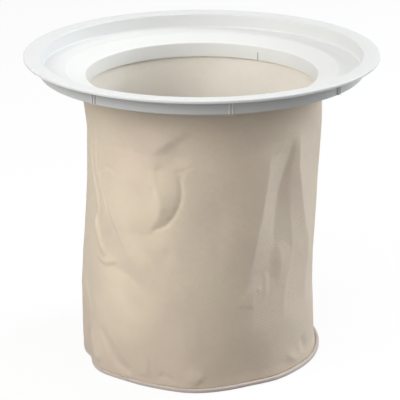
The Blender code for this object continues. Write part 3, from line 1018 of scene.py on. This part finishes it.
def sewn(name, node, line, closed, pitch):
    """A row of stitches along a line of points, in place of the CAD's plain strand."""
    curve = bpy.data.curves.new(name, "CURVE")
    curve.dimensions = "3D"
    spline = curve.splines.new("POLY")
    spline.points.add(len(line) - 1)
    for point, spot in zip(spline.points, line):
        point.co = (*spot, 1.0)
    spline.use_cyclic_u = closed
    path_piece = new_piece(name + "_line", curve)
    row = path_piece.modifiers.new("stitches", "NODES")
    row.node_group = stitch_row
    sockets = {s.name: s.identifier for s in stitch_row.interface.items_tree if s.in_out == "INPUT"}
    row[sockets["Pitch"]] = pitch
    row[sockets["Stitch Length"]] = 0.003
    row[sockets["Thread Radius"]] = 0.00024
    row[sockets["Material"]] = thread
    bpy.context.view_layer.update()
    piece = baked(path_piece, name)
    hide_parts(node)
    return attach(piece, "root")


def thread_point(azimuth, height):
    """Where a thread lies on the panel, 0.15 mm proud of its outer face, in metres."""
    x, y, z = (float(v) for v in panel_surface(azimuth, height))
    out = 1 + 0.15 / math.hypot(x, y)
    return x * out * mm, y * out * mm, z * mm


seam_row_radius = tape_out - 1.7
ring_steps = 540
seam_line, hem_line = [], []
for step in range(ring_steps):
    azimuth = 360.0 * step / ring_steps
    angle = math.radians(azimuth)
    pull = float(seam_pull(azimuth))
    reach = (seam_row_radius + pull) * mm
    seam_line.append((reach * math.sin(angle), -reach * math.cos(angle), (tape_top + 0.1) * mm))
    hem_line.append(thread_point(azimuth, 286.6))
seam_pitch = math.tau * seam_row_radius * mm / tape_turns
stitches = [
    sewn("bottom_seam_stitches", "bottom_stitching", seam_line, True, seam_pitch),
    sewn("mouth_hem_stitches", "mouth_stitching", hem_line, True, stitch_pitch * mm),
]
for name, node, across in (
    ("side_seam_stitches_front", "seam_stitching_front", -3.5),
    ("side_seam_stitches_back", "seam_stitching_back", 3.5),
):
    azimuth = lap_azimuth + across / body_radius * 180 / math.pi
    line = [thread_point(azimuth, h) for h in np.linspace(10.5, 279.5, 140)]
    stitches.append(sewn(name, node, line, False, stitch_pitch * mm))


# ---- Studio -----------------------------------------------------------------------------------
# Pale floor that is white to the camera and keeps a soft shadow, a broad light from the left, a
# weaker one near the front, one from above, one from behind on the right, and a white surround.

def seen_directly(tree):
    """1 for what the camera sees straight, by a reflection or through something clear."""
    rays = tree.nodes.new("ShaderNodeLightPath").outputs
    seen = math_node(tree, "MAXIMUM", rays["Is Camera Ray"], rays["Is Glossy Ray"])
    return math_node(tree, "MAXIMUM", seen, rays["Is Transmission Ray"])


floor_mesh = bpy.data.meshes.new("studio_floor")
floor_corners = [(-9, -9, -0.0005), (9, -9, -0.0005), (9, 9, -0.0005), (-9, 9, -0.0005)]
floor_mesh.from_pydata(floor_corners, [], [(0, 1, 2, 3)])
floor = new_piece("studio_floor", floor_mesh)
floor_paint = bpy.data.materials.new("studio floor")
floor_paint.use_nodes = True
tree = floor_paint.node_tree
shader = tree.nodes["Principled BSDF"]
shader.inputs["Roughness"].default_value = 0.9
white = tree.nodes.new("ShaderNodeEmission")
white.inputs["Color"].default_value = (1.0, 1.0, 1.0, 1.0)
white.inputs["Strength"].default_value = 1.0
seen = seen_directly(tree)
mix = tree.nodes.new("ShaderNodeMixShader")
tree.links.new(math_node(tree, "MULTIPLY", seen, 0.9), mix.inputs["Fac"])
tree.links.new(blended(tree, seen, (0.24, 0.24, 0.24), (0.95, 0.95, 0.95)), shader.inputs["Base Color"])
tree.links.new(shader.outputs[0], mix.inputs[1])
tree.links.new(white.outputs[0], mix.inputs[2])
tree.links.new(mix.outputs[0], tree.nodes["Material Output"].inputs["Surface"])
floor.data.materials.append(floor_paint)

world = bpy.data.worlds.new("studio")
scene.world = world
world.use_nodes = True
tree = world.node_tree
around = tree.nodes["Background"]
around.inputs["Color"].default_value = (1.0, 1.0, 1.0, 1.0)
around.inputs["Strength"].default_value = 0.28
backdrop = tree.nodes.new("ShaderNodeBackground")
backdrop.inputs["Color"].default_value = (1.0, 1.0, 1.0, 1.0)
backdrop.inputs["Strength"].default_value = 1.0
seen = seen_directly(tree)
mix = tree.nodes.new("ShaderNodeMixShader")
tree.links.new(seen, mix.inputs["Fac"])
tree.links.new(around.outputs[0], mix.inputs[1])
tree.links.new(backdrop.outputs[0], mix.inputs[2])
tree.links.new(mix.outputs[0], tree.nodes["World Output"].inputs["Surface"])


def soft_light(name, azimuth, elevation, distance, size, watts, colour):
    """A square area light aimed at the bag from an azimuth and an elevation."""
    lamp = bpy.data.lights.new(name, "AREA")
    lamp.shape = "SQUARE"
    lamp.size = size
    lamp.energy = watts
    lamp.color = colour
    made = bpy.data.objects.new(name, lamp)
    a, e = math.radians(azimuth), math.radians(elevation)
    back = Vector((math.sin(a) * math.cos(e), -math.cos(a) * math.cos(e), math.sin(e)))
    made.location = Vector((0.0, 0.0, 0.2)) + back * distance
    made.rotation_mode = "QUATERNION"
    made.rotation_quaternion = back.to_track_quat("Z", "Y")
    scene.collection.objects.link(made)


soft_light("left light", -58.0, 30.0, 1.5, 0.9, 12.2, (1.0, 0.99, 0.95))
soft_light("key light", -18.0, 32.0, 1.8, 1.0, 6.8, (1.0, 1.0, 0.98))
soft_light("right light", 110.0, 24.0, 2.5, 1.2, 51.0, (0.92, 0.97, 1.0))
soft_light("top light", 0.0, 86.0, 2.2, 1.8, 15.0, (0.99, 1.0, 1.0))

scene.view_settings.view_transform = "Standard"

eye = bpy.data.cameras.new("camera")
eye.sensor_width = 36.0
eye.lens = 1672.4 / 400.0 * 36.0
eye.clip_start = 0.05
eye.clip_end = 50.0
camera = bpy.data.objects.new("camera", eye)
rise = math.radians(14.79)
reach = 1.70
camera.location = (0.0, -reach * math.cos(rise), 0.320 + reach * math.sin(rise))
camera.rotation_euler = Euler((math.radians(90.0 - 19.86), math.radians(0.16), math.radians(0.02)), "XYZ")
scene.collection.objects.link(camera)
scene.camera = camera
